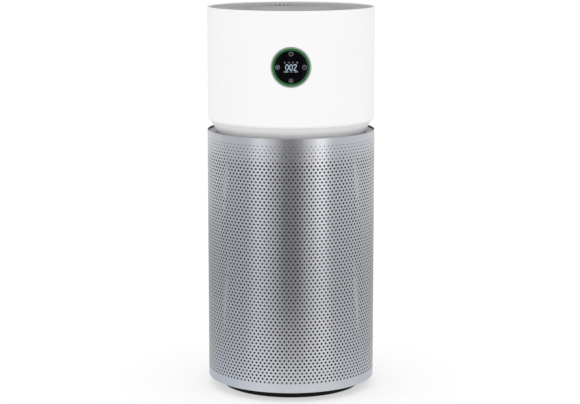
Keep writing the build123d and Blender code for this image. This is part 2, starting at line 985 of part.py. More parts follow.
def wrap_marks(shapes):
    """Lay flat marks, drawn about the display's middle, onto the curved glass."""
    skin = tube(mark_inner, mark_outer, display_height - 40, display_height + 40)
    group = []
    for flat in shapes:
        prism = extrude(Plane.XZ.offset(head_radius - 12.0) * flat, 20.0)
        prism = Pos(0, 0, display_height) * prism
        for solid in (prism & skin).solids():
            group.append(solid)
    return Compound(group)


def bar(x0, y0, x1, y1, wide):
    """Straight stroke between two points."""
    return trace(Line((x0, y0), (x1, y1)), wide)


def open_circle(radius, wide):
    return Circle(radius) - Circle(radius - wide)


def figure_nought(x):
    """Slim rounded nought, centred at x."""
    outer = Ellipse(digit_width / 2, digit_height / 2)
    inner = Ellipse(digit_width / 2 - digit_stroke, digit_height / 2 - digit_stroke)
    return Pos(x, 0) * (outer - inner)


def figure_two(x):
    """Rounded two, centred at x: an arc, a slanted stroke and a foot."""
    w = (digit_width - digit_stroke) / 2
    h = (digit_height - digit_stroke) / 2
    arc = trace(ThreePointArc((-w, h - w), (0, h), (w, h - w)), digit_stroke)
    slant = bar(w, h - w, -w, -h, digit_stroke)
    foot = bar(-w, -h, w, -h, digit_stroke)
    return Pos(x, 0) * (arc + slant + foot)


def make_display_digits():
    shapes = [figure_nought(-digit_pitch), figure_nought(0), figure_two(digit_pitch)]
    for i in range(3):
        shapes.append(Pos((i - 1.5) * mark_pitch, mark_row) * open_circle(mark_radius, 0.5))
    shapes.append(Pos(1.5 * mark_pitch, mark_row) * Circle(mark_radius))
    for x, wide, tall in ((-8.6, 7.6, 2.2), (0.4, 5.0, 1.2), (8.8, 6.6, 1.6)):
        shapes.append(Pos(x, -unit_row) * Rectangle(wide, tall))
    return wrap_marks(shapes)


def make_touch_icons():
    size = icon_radius
    power = open_circle(size, icon_stroke) - Pos(0, size) * Rectangle(2.8, size)
    north = [Pos(0, icon_circle) * power, Pos(0, icon_circle) * bar(0, 0.2, 0, size, icon_stroke)]
    clock = open_circle(size, icon_stroke)
    east = [Pos(icon_circle, 0) * clock, Pos(icon_circle, 0) * bar(0, -0.2, 0, 2.1, icon_stroke)]
    south = [Pos(0, -icon_circle) * open_circle(size, icon_stroke / 2)]
    for i in range(3):
        blade = Pos(0, 1.6) * Ellipse(0.8, 1.2)
        south.append(Pos(0, -icon_circle) * Rot(0, 0, 120.0 * i) * blade)
    west = [Pos(-icon_circle, 0) * open_circle(size, icon_stroke), Pos(-icon_circle, 0) * Circle(1.5)]
    return wrap_marks(north + east + south + west)


def make_display_board():
    depth = head_inner - 5.0
    return rod_y(0, display_height, glass_radius + 2.0, -depth, -depth + board_thickness)


def make_main_board():
    depth = head_inner - 7.5
    high = display_height - bezel_radius - 6.0
    return block(-30, 30, -depth, -depth + board_thickness, high - 50.0, high)


def make_board_parts():
    depth = head_inner - 7.5 - board_thickness
    high = display_height - bezel_radius - 6.0
    group = [block(-12, 2, -depth, -depth + 1.6, high - 30, high - 16)]
    group.append(block(-26, -18, -depth, -depth + 4.0, high - 46, high - 20))
    group.append(block(10, 24, -depth, -depth + 3.2, high - 14, high - 6))
    for x in (10, 20):
        group.append(rod_y(x, high - 34, 3.6, -depth, -depth + 4.5))
    return Compound(group)


# ---------------------------------------------------------------- write every sub-part
save("rubber_foot_ring", make_rubber_foot_ring())
save("base_plate", make_base_plate())
save("base_screws", make_base_screws())
save("bottom_tray", make_bottom_tray())
save("rear_skirt", make_rear_skirt())
save("filter_deck", make_filter_deck())
save("mains_inlet", make_mains_inlet())
save("inlet_pins", make_inlet_pins())
save("power_board", make_power_board())
save("power_parts", make_power_parts())
save("front_sheet", make_front_sheet())
save("frame_posts", make_frame_posts())
save("frame_hoops", make_frame_hoops())
save("sheet_top_ring", make_sheet_top_ring())
save("neck_skirt", make_neck_skirt())
save("door_sheet", make_door_sheet())
save("door_stiles", make_door_stiles())
save("door_ribs", make_door_ribs())
save("latch_guide", make_latch_guide())
save("latch_button", make_latch_button())
save("latch_bolt", make_latch_bolt())
save("latch_spring", make_latch_spring())
save("filter_bottom_cap", make_filter_bottom_cap())
save("filter_top_cap", make_filter_top_cap())
save("filter_pleats", make_filter_pleats())
save("carbon_core", make_carbon_core())
save("prefilter_mesh", make_prefilter_mesh())
save("filter_seal", make_filter_seal())
save("pull_strap", make_pull_strap())
save("fan_deck", make_fan_deck())
save("fan_casing", make_fan_casing())
save("fan_inlet_ring", make_fan_inlet_ring())
save("impeller", make_impeller())
save("rotor_hub", make_rotor_hub())
save("motor_shaft", make_motor_shaft())
save("impeller_nut", make_impeller_nut())
save("motor_rotor", make_motor_rotor())
save("motor_housing", make_motor_housing())
save("motor_bearings", make_motor_bearings())
save("motor_stator", make_motor_stator())
save("motor_bracket", make_motor_bracket())
save("motor_screws", make_motor_screws())
save("stator_vanes", make_stator_vanes())
save("top_housing", make_top_housing())
save("outlet_grille", make_outlet_grille())
save("grille_cap", make_grille_cap())
save("sensor_vent", make_sensor_vent())
save("dust_sensor", make_dust_sensor())
save("display_bezel", make_display_bezel())
save("light_ring", make_light_ring())
save("display_glass", make_display_glass())
save("display_digits", make_display_digits())
save("touch_icons", make_touch_icons())
save("display_board", make_display_board())
save("main_board", make_main_board())
save("board_parts", make_board_parts())
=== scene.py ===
import math

import bmesh
import bpy
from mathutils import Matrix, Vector


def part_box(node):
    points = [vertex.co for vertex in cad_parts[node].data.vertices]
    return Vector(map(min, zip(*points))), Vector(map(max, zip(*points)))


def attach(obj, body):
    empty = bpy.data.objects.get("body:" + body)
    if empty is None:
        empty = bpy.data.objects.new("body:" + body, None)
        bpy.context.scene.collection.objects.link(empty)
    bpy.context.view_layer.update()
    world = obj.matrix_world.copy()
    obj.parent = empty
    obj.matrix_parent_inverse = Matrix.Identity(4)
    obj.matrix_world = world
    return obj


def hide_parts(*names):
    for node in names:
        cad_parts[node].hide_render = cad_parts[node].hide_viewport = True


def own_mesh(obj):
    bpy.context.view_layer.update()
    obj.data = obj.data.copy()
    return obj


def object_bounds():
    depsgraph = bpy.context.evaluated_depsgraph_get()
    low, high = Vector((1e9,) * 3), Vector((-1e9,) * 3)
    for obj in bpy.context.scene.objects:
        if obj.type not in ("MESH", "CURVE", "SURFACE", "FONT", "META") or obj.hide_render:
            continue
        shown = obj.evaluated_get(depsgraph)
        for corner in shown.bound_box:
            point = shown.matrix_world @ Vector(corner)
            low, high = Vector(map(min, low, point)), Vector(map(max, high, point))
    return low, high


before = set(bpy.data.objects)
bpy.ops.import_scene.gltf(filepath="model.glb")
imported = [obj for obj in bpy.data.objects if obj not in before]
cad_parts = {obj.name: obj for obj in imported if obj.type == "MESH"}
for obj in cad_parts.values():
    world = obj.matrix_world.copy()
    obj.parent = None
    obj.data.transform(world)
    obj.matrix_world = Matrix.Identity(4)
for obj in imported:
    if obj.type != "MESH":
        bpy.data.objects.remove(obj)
cad_low, cad_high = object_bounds()

MM = 0.001
scene = bpy.context.scene


# ------------------------------------------------------------------ camera
# Stands 3.27 m in front of the purifier, a little above it, looking slightly down.
CAMERA_DISTANCE = 3.266
CAMERA_HEIGHT = 0.8862
CAMERA_SIDE = -0.0018
CAMERA_TILT = 9.548
CAMERA_LENS = 112.07


def make_camera():
    data = bpy.data.cameras.new("camera")
    data.sensor_width = 36.0
    data.lens = CAMERA_LENS
    data.clip_end = 100.0
    camera = bpy.data.objects.new("camera", data)
    camera.location = (CAMERA_SIDE, -CAMERA_DISTANCE, CAMERA_HEIGHT)
    camera.rotation_euler = (math.radians(90.0 - CAMERA_TILT), 0.0, 0.0)
    scene.collection.objects.link(camera)
    scene.camera = camera


make_camera()


# ------------------------------------------------------------------ sizes, read from the frame
def low(node):
    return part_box(node)[0]


def high(node):
    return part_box(node)[1]


DRUM_R = -low("front_sheet").y
DRUM_LOW = low("front_sheet").z
DRUM_HIGH = high("front_sheet").z
SHEET = 1.2 * MM
DOOR_LOW = low("door_sheet").z
DOOR_HALF = math.degrees(math.asin(high("door_sheet").x / DRUM_R))
FRONT_HALF = 180.0 - DOOR_HALF - 0.4
HEAD_R = high("top_housing").y
HEAD_LOW = low("top_housing").z
HEAD_HIGH = high("top_housing").z
BASE_R = high("base_plate").x
BASE_LOW = low("base_plate").z
BASE_HIGH = high("base_plate").z
SHELF_R = high("sheet_top_ring").x
SHELF_LOW = low("sheet_top_ring").z
SHELF_HIGH = high("sheet_top_ring").z
LID_R = high("outlet_grille").x
LID_LOW = low("outlet_grille").z
LID_HIGH = high("outlet_grille").z
DISPLAY_Z = (low("display_bezel").z + high("display_bezel").z) / 2
BEZEL_R = high("display_bezel").x
RING_R = high("light_ring").x
GLASS_R = high("display_glass").x
GLASS_Z = (low("display_glass").z + high("display_glass").z) / 2
FIT_GAP = 0.15 * MM
THROUGH_FRONT = (-0.20, -0.12)  # reach of a cut through the front wall of the drum or the head
THROUGH_REAR = (0.12, 0.20)


# ------------------------------------------------------------------ mesh helpers
def add_mesh(name, verts, faces, body, replaces=(), sharp=32.0, material=None):
    """Makes a piece from points and faces, smooth except at edges sharper than the angle given."""
    mesh = bpy.data.meshes.new(name)
    mesh.from_pydata([tuple(v) for v in verts], [], [tuple(f) for f in faces])
    mesh.update()
    mesh.polygons.foreach_set("use_smooth", [True] * len(mesh.polygons))
    if sharp is not None:
        mesh.set_sharp_from_angle(angle=math.radians(sharp))
    obj = bpy.data.objects.new(name, mesh)
    scene.collection.objects.link(obj)
    return place(obj, body, replaces, material)


def place(obj, body, replaces=(), material=None):
    """Puts a finished piece on its body and material."""
    if material is not None:
        obj.data.materials.clear()
        obj.data.materials.append(material)
    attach(obj, body)
    if replaces:
        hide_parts(*replaces)
    return obj


def soften(corners, radius=0.4 * MM, steps=3):
    """Rounds each corner of a closed outline. A corner may carry its own radius as a third value."""
    points = []
    count = len(corners)
    for i, corner in enumerate(corners):
        here = Vector(corner[:2])
        want = corner[2] if len(corner) > 2 else radius
        before = Vector(corners[i - 1][:2]) - here
        after = Vector(corners[(i + 1) % count][:2]) - here
        if want <= 0 or before.length < 1e-7 or after.length < 1e-7:
            points.append(tuple(here))
            continue
        half = before.angle(after) / 2
        if half > math.radians(88):
            points.append(tuple(here))
            continue
        cut = min(want / math.tan(half), before.length * 0.48, after.length * 0.48)
        start = here + before.normalized() * cut
        end = here + after.normalized() * cut
        for k in range(steps + 1):
            t = k / steps
            points.append(tuple((1 - t) ** 2 * start + 2 * t * (1 - t) * here + t * t * end))
    return points


def lathe_data(outline, segments=240, start=0.0, arc=360.0):
    """Points and faces of a closed (radius, height) outline turned about the upright axis."""
    whole = abs(arc - 360.0) < 1e-6
    columns = segments if whole else segments + 1
    verts = []
    for i in range(columns):
        angle = math.radians(start + arc * i / segments)
        c, s = math.cos(angle), math.sin(angle)
        verts += [(r * c, r * s, z) for r, z in outline]
    n = len(outline)
    faces = []
    for i in range(segments):
        a, b = i * n, ((i + 1) % columns) * n
        for k in range(n):
            m = (k + 1) % n
            faces.append((a + k, b + k, b + m, a + m))
    if not whole:
        faces.append(tuple(range(n)))
        last = segments * n
        faces.append(tuple(last + k for k in reversed(range(n))))
    return verts, faces


def merge_points(obj, sharp, apart=1e-7, turn_outwards=True):
    """Joins points that lie together, then marks the edges sharper than the angle given."""
    bm = bmesh.new()
    bm.from_mesh(obj.data)
    bmesh.ops.remove_doubles(bm, verts=bm.verts, dist=apart)
    if turn_outwards:
        bmesh.ops.recalc_face_normals(bm, faces=bm.faces)
    bm.to_mesh(obj.data)
    bm.free()
    obj.data.set_sharp_from_angle(angle=math.radians(sharp))


def lathe(name, outline, body, replaces=(), segments=240, start=0.0, arc=360.0, material=None):
    """Makes a piece by turning a closed (radius, height) outline about the upright axis."""
    verts, faces = lathe_data(outline, segments, start, arc)
    obj = add_mesh(name, verts, faces, body, replaces, material=material)
    merge_points(obj, 32.0)
    return obj


def cutter(verts, faces):
    """A hidden solid used to cut another piece."""
    mesh = bpy.data.meshes.new("cutter")
    mesh.from_pydata(verts, [], faces)
    bm = bmesh.new()
    bm.from_mesh(mesh)
    bmesh.ops.recalc_face_normals(bm, faces=bm.faces)
    bm.to_mesh(mesh)
    bm.free()
    obj = bpy.data.objects.new("cutter", mesh)
    scene.collection.objects.link(obj)
    return obj


def cut(obj, tools, sharp=32.0):
    """Takes the cutters out of a piece and applies the result."""
    for tool in tools:
        modifier = obj.modifiers.new("cut", "BOOLEAN")
        modifier.operation = "DIFFERENCE"
        modifier.solver = "EXACT"
        modifier.object = tool
    graph = bpy.context.evaluated_depsgraph_get()
    made = bpy.data.meshes.new_from_object(obj.evaluated_get(graph))
    obj.modifiers.clear()
    obj.data = made
    made.polygons.foreach_set("use_smooth", [True] * len(made.polygons))
    made.set_sharp_from_angle(angle=math.radians(sharp))
    for tool in tools:
        bpy.data.objects.remove(tool)
    return obj


def bar_along_y(outline, y0, y1):
    """Solid with an (x, z) outline that runs along Y."""
    n = len(outline)
    verts = [(x, y0, z) for x, z in outline] + [(x, y1, z) for x, z in outline]
    faces = [tuple(range(n)), tuple(reversed(range(n, 2 * n)))]
    faces += [(i, (i + 1) % n, n + (i + 1) % n, n + i) for i in range(n)]
    return verts, faces


def circle_points(radius, x=0.0, z=0.0, count=128):
    """An (x, z) outline of a circle."""
    return [(x + radius * math.cos(2 * math.pi * i / count),
             z + radius * math.sin(2 * math.pi * i / count)) for i in range(count)]


# ------------------------------------------------------------------ material helpers
class Nodes:
    """Short way to add and join shader nodes."""

    def __init__(self, name):
        self.material = bpy.data.materials.new(name)
        self.material.use_nodes = True
        self.tree = self.material.node_tree
        self.tree.nodes.clear()
        self.out = self.tree.nodes.new("ShaderNodeOutputMaterial")
        self.shader = self.tree.nodes.new("ShaderNodeBsdfPrincipled")
        self.tree.links.new(self.shader.outputs[0], self.out.inputs[0])
        self.coords = self.tree.nodes.new("ShaderNodeTexCoord").outputs["Object"]

    def join(self, source, target):
        self.tree.links.new(source, target)

    def noise(self, scale, detail=3.0, rough=0.55, stretch=None):
        node = self.tree.nodes.new("ShaderNodeTexNoise")
        node.inputs["Scale"].default_value = scale
        node.inputs["Detail"].default_value = detail
        node.inputs["Roughness"].default_value = rough
        source = self.coords
        if stretch is not None:
            mapping = self.tree.nodes.new("ShaderNodeMapping")
            mapping.inputs["Scale"].default_value = stretch
            self.join(source, mapping.inputs["Vector"])
            source = mapping.outputs["Vector"]
        self.join(source, node.inputs["Vector"])
        return node.outputs[0]

    def maths(self, operation, first, second=None):
        node = self.tree.nodes.new("ShaderNodeMath")
        node.operation = operation
        for value, socket in zip((first, second), node.inputs):
            if isinstance(value, float):
                socket.default_value = value
            elif value is not None:
                self.join(value, socket)
        return node.outputs[0]

    def spread(self, value, low_out, high_out, low_in=0.3, high_in=0.7):
        node = self.tree.nodes.new("ShaderNodeMapRange")
        node.inputs["From Min"].default_value = low_in
        node.inputs["From Max"].default_value = high_in
        node.inputs["To Min"].default_value = low_out
        node.inputs["To Max"].default_value = high_out
        self.join(value, node.inputs["Value"])
        return node.outputs[0]

    def blend(self, factor, first, second):
        node = self.tree.nodes.new("ShaderNodeMix")
        node.data_type = "RGBA"
        self.join(factor, node.inputs["Factor"])
        node.inputs[6].default_value = (*first, 1.0)
        node.inputs[7].default_value = (*second, 1.0)
        return node.outputs[2]

    def bump(self, heights, distance=0.1 * MM):
        """Adds surface relief from (value, strength) pairs, finest last."""
        normal = None
        for value, strength in heights:
            node = self.tree.nodes.new("ShaderNodeBump")
            node.inputs["Strength"].default_value = strength
            node.inputs["Distance"].default_value = distance
            self.join(value, node.inputs["Height"])
            if normal is not None:
                self.join(normal, node.inputs["Normal"])
            normal = node.outputs["Normal"]
        self.join(normal, self.shader.inputs["Normal"])


def plastic(name, colour, rough=0.5, grain=1400.0, relief=0.12, vary=0.05, specular=0.45):
    """Moulded plastic: fine spark texture, faint flow marks and small changes of tone."""
    n = Nodes(name)
    broad = n.noise(9.0, 4.0)
    fine = n.noise(grain, 2.0)
    darker = tuple(c * (1 - vary) for c in colour)
    n.join(n.blend(n.spread(broad, 0.0, 1.0), colour, darker), n.shader.inputs["Base Color"])
    n.join(n.spread(n.noise(40.0, 3.0), rough - 0.05, rough + 0.06), n.shader.inputs["Roughness"])
    n.shader.inputs["Specular IOR Level"].default_value = specular
    n.bump([(broad, 0.02), (fine, relief)])
    return n.material


def metal(name, colour, rough=0.3, grain=3000.0, relief=0.05, stretch=None, vary=0.04):
    """Bare or plated metal with a fine grain, brushed where stretch is given."""
    n = Nodes(name)
    broad = n.noise(6.0, 4.0)
    fine = n.noise(grain, 2.0, stretch=stretch)
    darker = tuple(c * (1 - vary) for c in colour)
    n.join(n.blend(n.spread(broad, 0.0, 1.0), colour, darker), n.shader.inputs["Base Color"])
    n.join(n.spread(fine, rough - 0.04, rough + 0.05), n.shader.inputs["Roughness"])
    n.shader.inputs["Metallic"].default_value = 1.0
    n.bump([(fine, relief)])
    return n.material


def lit(name, colour, strength, base=(0.02, 0.02, 0.02), marks=None):
    """Lit print or diffuser: glows a little unevenly, like light through plastic.

    marks is a height, a distance from it, and the share of the glow that is left beyond that distance, for
    small marks above and below the main figures."""
    n = Nodes(name)
    cloud = n.noise(500.0, 2.0)
    n.shader.inputs["Base Color"].default_value = (*base, 1.0)
    n.shader.inputs["Roughness"].default_value = 0.35
    dimmer = tuple(c * 0.86 for c in colour)
    n.join(n.blend(n.spread(cloud, 0.0, 1.0), colour, dimmer), n.shader.inputs["Emission Color"])
    n.shader.inputs["Emission Strength"].default_value = strength
    if marks is not None:
        middle, reach, share = marks
        place_of = n.tree.nodes.new("ShaderNodeSeparateXYZ")
        n.join(n.coords, place_of.inputs[0])
        off_middle = n.maths("ABSOLUTE", n.maths("SUBTRACT", place_of.outputs["Z"], middle))
        n.join(n.spread(off_middle, strength, strength * share, reach, reach + 0.1 * MM),
               n.shader.inputs["Emission Strength"])
    return n.material


# ------------------------------------------------------------------ materials
SILVER = metal("anodised_silver", (0.635, 0.638, 0.665), 0.30, 3800.0, 0.04)
# Painted shade: the sheet's inner face and hole walls are near black, so the holes look deep and dark.
SHEET_BACK_SHADE = metal("sheet_inner_painted_shade", (0.085, 0.086, 0.092), 0.5, 2600.0, 0.08)
BEZEL = metal("bezel_satin", (0.60, 0.64, 0.62), 0.35, 2500.0, 0.04)
SATIN_SILVER = metal("satin_silver_paint", (0.52, 0.52, 0.535), 0.42, 2600.0, 0.06)
WHITE = plastic("satin_white", (0.872, 0.862, 0.868), 0.46, 1500.0, 0.05, 0.008, 0.3)
LID = plastic("lid_mid_grey", (0.30, 0.303, 0.318), 0.42, 1700.0, 0.10, 0.05, 0.35)
BLACK = plastic("base_black", (0.007, 0.007, 0.008), 0.6, 1200.0, 0.25, 0.2, 0.12)
GREY = plastic("inner_grey", (0.20, 0.205, 0.215), 0.55, 1100.0, 0.2, 0.08)
FRAME = plastic("frame_dark_grey", (0.022, 0.022, 0.024), 0.6, 1100.0, 0.2, 0.1, 0.2)
DUCT = plastic("duct_grey", (0.42, 0.425, 0.435), 0.5, 1100.0, 0.18, 0.08)
FAN_GREY = plastic("fan_grey", (0.10, 0.105, 0.115), 0.42, 1300.0, 0.15, 0.12)
CAP_GREY = plastic("filter_cap_grey", (0.60, 0.61, 0.62), 0.5, 1000.0, 0.18, 0.05)
NYLON = plastic("nylon_black", (0.025, 0.025, 0.027), 0.42, 900.0, 0.15, 0.15)
SENSOR = plastic("sensor_black", (0.03, 0.03, 0.033), 0.5, 1200.0, 0.2, 0.15)
RUBBER = plastic("foot_rubber", (0.022, 0.022, 0.023), 0.82, 700.0, 0.35, 0.25, 0.3)
FOAM = plastic("seal_foam", (0.045, 0.045, 0.048), 0.95, 600.0, 0.9, 0.3, 0.15)
CHIP = plastic("chip_black", (0.028, 0.028, 0.030), 0.45, 2000.0, 0.12, 0.1)
STEEL = metal("zinc_steel", (0.62, 0.63, 0.65), 0.32, 2500.0, 0.08)
SHAFT = metal("ground_steel", (0.66, 0.67, 0.69), 0.2, 900.0, 0.06, (1.0, 1.0, 30.0))
BRASS = metal("turned_brass", (0.72, 0.56, 0.28), 0.28, 900.0, 0.06, (1.0, 1.0, 25.0))
ALLOY = metal("cast_alloy", (0.52, 0.53, 0.55), 0.42, 1500.0, 0.15)
MAGNET = metal("plated_magnet", (0.30, 0.30, 0.32), 0.36, 1500.0, 0.08)


def make_display_glass_material():
    n = Nodes("display_black_glass")
    smear = n.noise(60.0, 3.0)
    n.join(n.blend(n.spread(smear, 0.0, 1.0), (0.002, 0.002, 0.003), (0.004, 0.004, 0.005)),
           n.shader.inputs["Base Color"])
    n.join(n.spread(smear, 0.06, 0.14), n.shader.inputs["Roughness"])
    n.shader.inputs["Specular IOR Level"].default_value = 0.06
    return n.material


def make_paper_material():
    n = Nodes("pleated_filter_paper")
    fibres = n.noise(900.0, 5.0, 0.7, (1.0, 1.0, 0.35))
    cloud = n.noise(30.0, 4.0)
    n.join(n.blend(n.spread(cloud, 0.0, 1.0), (0.80, 0.80, 0.78), (0.70, 0.70, 0.675)),
           n.shader.inputs["Base Color"])
    n.shader.inputs["Roughness"].default_value = 0.92
    n.shader.inputs["Sheen Weight"].default_value = 0.25
    n.bump([(cloud, 0.2), (fibres, 0.6)], 0.2 * MM)
    return n.material


def make_circuit_material():
    n = Nodes("circuit_board_green")
    grid = n.tree.nodes.new("ShaderNodeTexBrick")
    grid.inputs["Scale"].default_value = 160.0
    grid.inputs["Color1"].default_value = (0.010, 0.085, 0.040, 1)
    grid.inputs["Color2"].default_value = (0.014, 0.105, 0.050, 1)
    grid.inputs["Mortar"].default_value = (0.020, 0.150, 0.070, 1)
    n.join(n.coords, grid.inputs["Vector"])
    n.join(grid.outputs["Color"], n.shader.inputs["Base Color"])
    n.join(n.spread(n.noise(300.0), 0.25, 0.4), n.shader.inputs["Roughness"])
    n.bump([(grid.outputs["Fac"], 0.3)], 0.05 * MM)
    return n.material


def make_weave_material(name, colour, scale, rough=0.9):
    """Woven cloth or net: two crossed sets of ribs over a fibre noise."""
    n = Nodes(name)
    heights = []
    for direction in ("X", "Z"):
        wave = n.tree.nodes.new("ShaderNodeTexWave")
        wave.bands_direction = direction
        wave.inputs["Scale"].default_value = scale
        wave.inputs["Distortion"].default_value = 0.6
        n.join(n.coords, wave.inputs["Vector"])
        heights.append((wave.outputs["Fac"], 0.5))
    fibre = n.noise(2500.0, 3.0)
    heights.append((fibre, 0.3))
    dark = tuple(c * 0.6 for c in colour)
    n.join(n.blend(heights[0][0], dark, colour), n.shader.inputs["Base Color"])
    n.shader.inputs["Roughness"].default_value = rough
    n.shader.inputs["Sheen Weight"].default_value = 0.2
    n.bump(heights, 0.2 * MM)
    return n.material


def make_carbon_material():
    n = Nodes("carbon_granules")
    cells = n.tree.nodes.new("ShaderNodeTexVoronoi")
    cells.inputs["Scale"].default_value = 420.0
    n.join(n.coords, cells.inputs["Vector"])
    n.join(n.blend(n.spread(cells.outputs["Distance"], 0.0, 1.0, 0.0, 0.6), (0.035, 0.035, 0.038),
                   (0.006, 0.006, 0.007)), n.shader.inputs["Base Color"])
    n.shader.inputs["Roughness"].default_value = 0.8
    n.bump([(cells.outputs["Distance"], 0.8)], 0.6 * MM)
    return n.material


def make_coil_material():
    n = Nodes("copper_winding")
    wave = n.tree.nodes.new("ShaderNodeTexWave")
    wave.bands_direction = "Z"
    wave.inputs["Scale"].default_value = 320.0
    n.join(n.coords, wave.inputs["Vector"])
    n.join(n.blend(wave.outputs["Fac"], (0.30, 0.10, 0.035), (0.72, 0.33, 0.13)),
           n.shader.inputs["Base Color"])
    n.shader.inputs["Metallic"].default_value = 0.9
    n.shader.inputs["Roughness"].default_value = 0.3
    n.bump([(wave.outputs["Fac"], 0.6)], 0.2 * MM)
    return n.material


def make_neck_material():
    """Light grey moulding with painted light: paler towards its foot and darker towards the top, to cancel
    the shade that gathers near the shelf.
    """
    n = Nodes("neck_grey_painted_light")
    split = n.tree.nodes.new("ShaderNodeSeparateXYZ")
    n.join(n.coords, split.inputs[0])
    # Painted light: pale at the shelf and darker under the head, working against the shading there.
    rise = n.spread(split.outputs["Z"], 0.0, 1.0, SHELF_HIGH, HEAD_LOW)
    n.join(n.blend(rise, (0.95, 0.94, 0.95), (0.80, 0.79, 0.80)), n.shader.inputs["Base Color"])
    n.join(n.spread(n.noise(40.0, 3.0), 0.47, 0.58), n.shader.inputs["Roughness"])
    n.shader.inputs["Specular IOR Level"].default_value = 0.3
    n.bump([(n.noise(9.0, 4.0), 0.02), (n.noise(1500.0, 2.0), 0.08)])
    return n.material


def make_ring_material():
    """Green light ring: dark diffuser with a fine bright line near each edge."""
    n = Nodes("green_ring")
    split = n.tree.nodes.new("ShaderNodeSeparateXYZ")
    n.join(n.coords, split.inputs[0])
    drop = n.maths("SUBTRACT", split.outputs["Z"], DISPLAY_Z)
    squares = n.maths("ADD", n.maths("MULTIPLY", split.outputs["X"], split.outputs["X"]),
                      n.maths("MULTIPLY", drop, drop))
    radius = n.maths("SQRT", squares)
    bands = n.tree.nodes.new("ShaderNodeValToRGB")
    n.join(n.spread(radius, 0.0, 1.0, GLASS_R, RING_R), bands.inputs[0])
    bright, dark, pale = (0.045, 0.22, 0.062, 1.0), (0.009, 0.046, 0.013, 1.0), (0.17, 0.27, 0.19, 1.0)
    bands.color_ramp.elements[0].color = bright
    bands.color_ramp.elements[1].color = pale
    stops = [(0.16, bright), (0.24, dark), (0.56, dark), (0.62, bright), (0.78, bright), (0.86, pale)]
    for position, colour in stops:
        bands.color_ramp.elements.new(position).color = colour
    glow = n.tree.nodes.new("ShaderNodeMix")
    glow.data_type = "RGBA"
    glow.blend_type = "MULTIPLY"
    glow.inputs["Factor"].default_value = 1.0
    n.join(bands.outputs[0], glow.inputs[6])
    cloud = n.spread(n.noise(500.0, 2.0), 0.0, 1.0)
    n.join(n.blend(cloud, (1.0, 1.0, 1.0), (0.82, 0.82, 0.82)), glow.inputs[7])
    n.join(glow.outputs[2], n.shader.inputs["Emission Color"])
    n.shader.inputs["Emission Strength"].default_value = 1.0
    n.shader.inputs["Base Color"].default_value = (0.010, 0.030, 0.014, 1.0)
    n.shader.inputs["Roughness"].default_value = 0.3
    n.shader.inputs["Specular IOR Level"].default_value = 0.12
    return n.material


NECK_PAINTED_LIGHT = make_neck_material()
GLASS = make_display_glass_material()
PAPER = make_paper_material()
CIRCUIT = make_circuit_material()
NET = make_weave_material("prefilter_net", (0.018, 0.019, 0.021), 260.0)
STRAP = make_weave_material("strap_tape", (0.08, 0.30, 0.24), 220.0)
CARBON = make_carbon_material()
COIL = make_coil_material()
GREEN_GLOW = make_ring_material()
DIGIT_GLOW = lit("digit_blue_white", (0.62, 0.80, 1.0), 0.95, marks=(GLASS_Z, 6.1 * MM, 0.36))
ICON_GLOW = lit("icon_grey", (0.42, 0.43, 0.50), 0.50)

CAD_MATERIALS = {
    "rubber_foot_ring": RUBBER, "base_screws": STEEL, "bottom_tray": GREY, "filter_deck": GREY,
    "mains_inlet": NYLON, "inlet_pins": BRASS, "power_board": CIRCUIT, "power_parts": CHIP,
    "frame_posts": FRAME, "frame_hoops": FRAME, "door_stiles": FRAME, "door_ribs": FRAME,
    "latch_guide": GREY, "latch_button": SATIN_SILVER,
    "latch_bolt": NYLON, "filter_bottom_cap": CAP_GREY, "filter_top_cap": CAP_GREY,
    "filter_pleats": PAPER, "carbon_core": CARBON, "prefilter_mesh": NET, "filter_seal": FOAM,
    "pull_strap": STRAP, "fan_deck": GREY, "fan_casing": DUCT, "fan_inlet_ring": DUCT, "impeller": FAN_GREY,
    "rotor_hub": BRASS, "motor_shaft": SHAFT, "impeller_nut": STEEL, "motor_rotor": MAGNET,
    "motor_housing": ALLOY, "motor_bearings": SHAFT, "motor_stator": COIL, "motor_bracket": NYLON,
    "motor_screws": STEEL, "stator_vanes": DUCT, "dust_sensor": SENSOR, "display_board": CIRCUIT,
    "main_board": CIRCUIT, "board_parts": CHIP, "sensor_vent": WHITE, "rear_skirt": SILVER,
    "display_digits": DIGIT_GLOW, "touch_icons": ICON_GLOW,
}


def dress_cad_nodes():
    """Gives the CAD nodes that stay in view their finish."""
    for name, material in CAD_MATERIALS.items():
        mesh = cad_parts[name].data
        mesh.materials.clear()
        mesh.materials.append(material)


dress_cad_nodes()


# ------------------------------------------------------------------ perforated sheet
HOLE_PITCH = 3.0  # degrees
ROW_PITCH = 5.81 * MM
HOLE_R = 1.94 * MM
FIRST_ROW = DRUM_LOW + 18.0 * MM
ROWS = 74
FADING_ROWS = 7
SMALLEST_HOLE = 0.42  # share of the full radius
SIDE_BAND = 2.2  # unpunched band along each upright edge, degrees
HOLE_SIDES = 12
HOLE_EDGE = 0.22 * MM
EDGE_DEPTH = 0.16 * MM
HEM_CROWN = 0.2 * MM


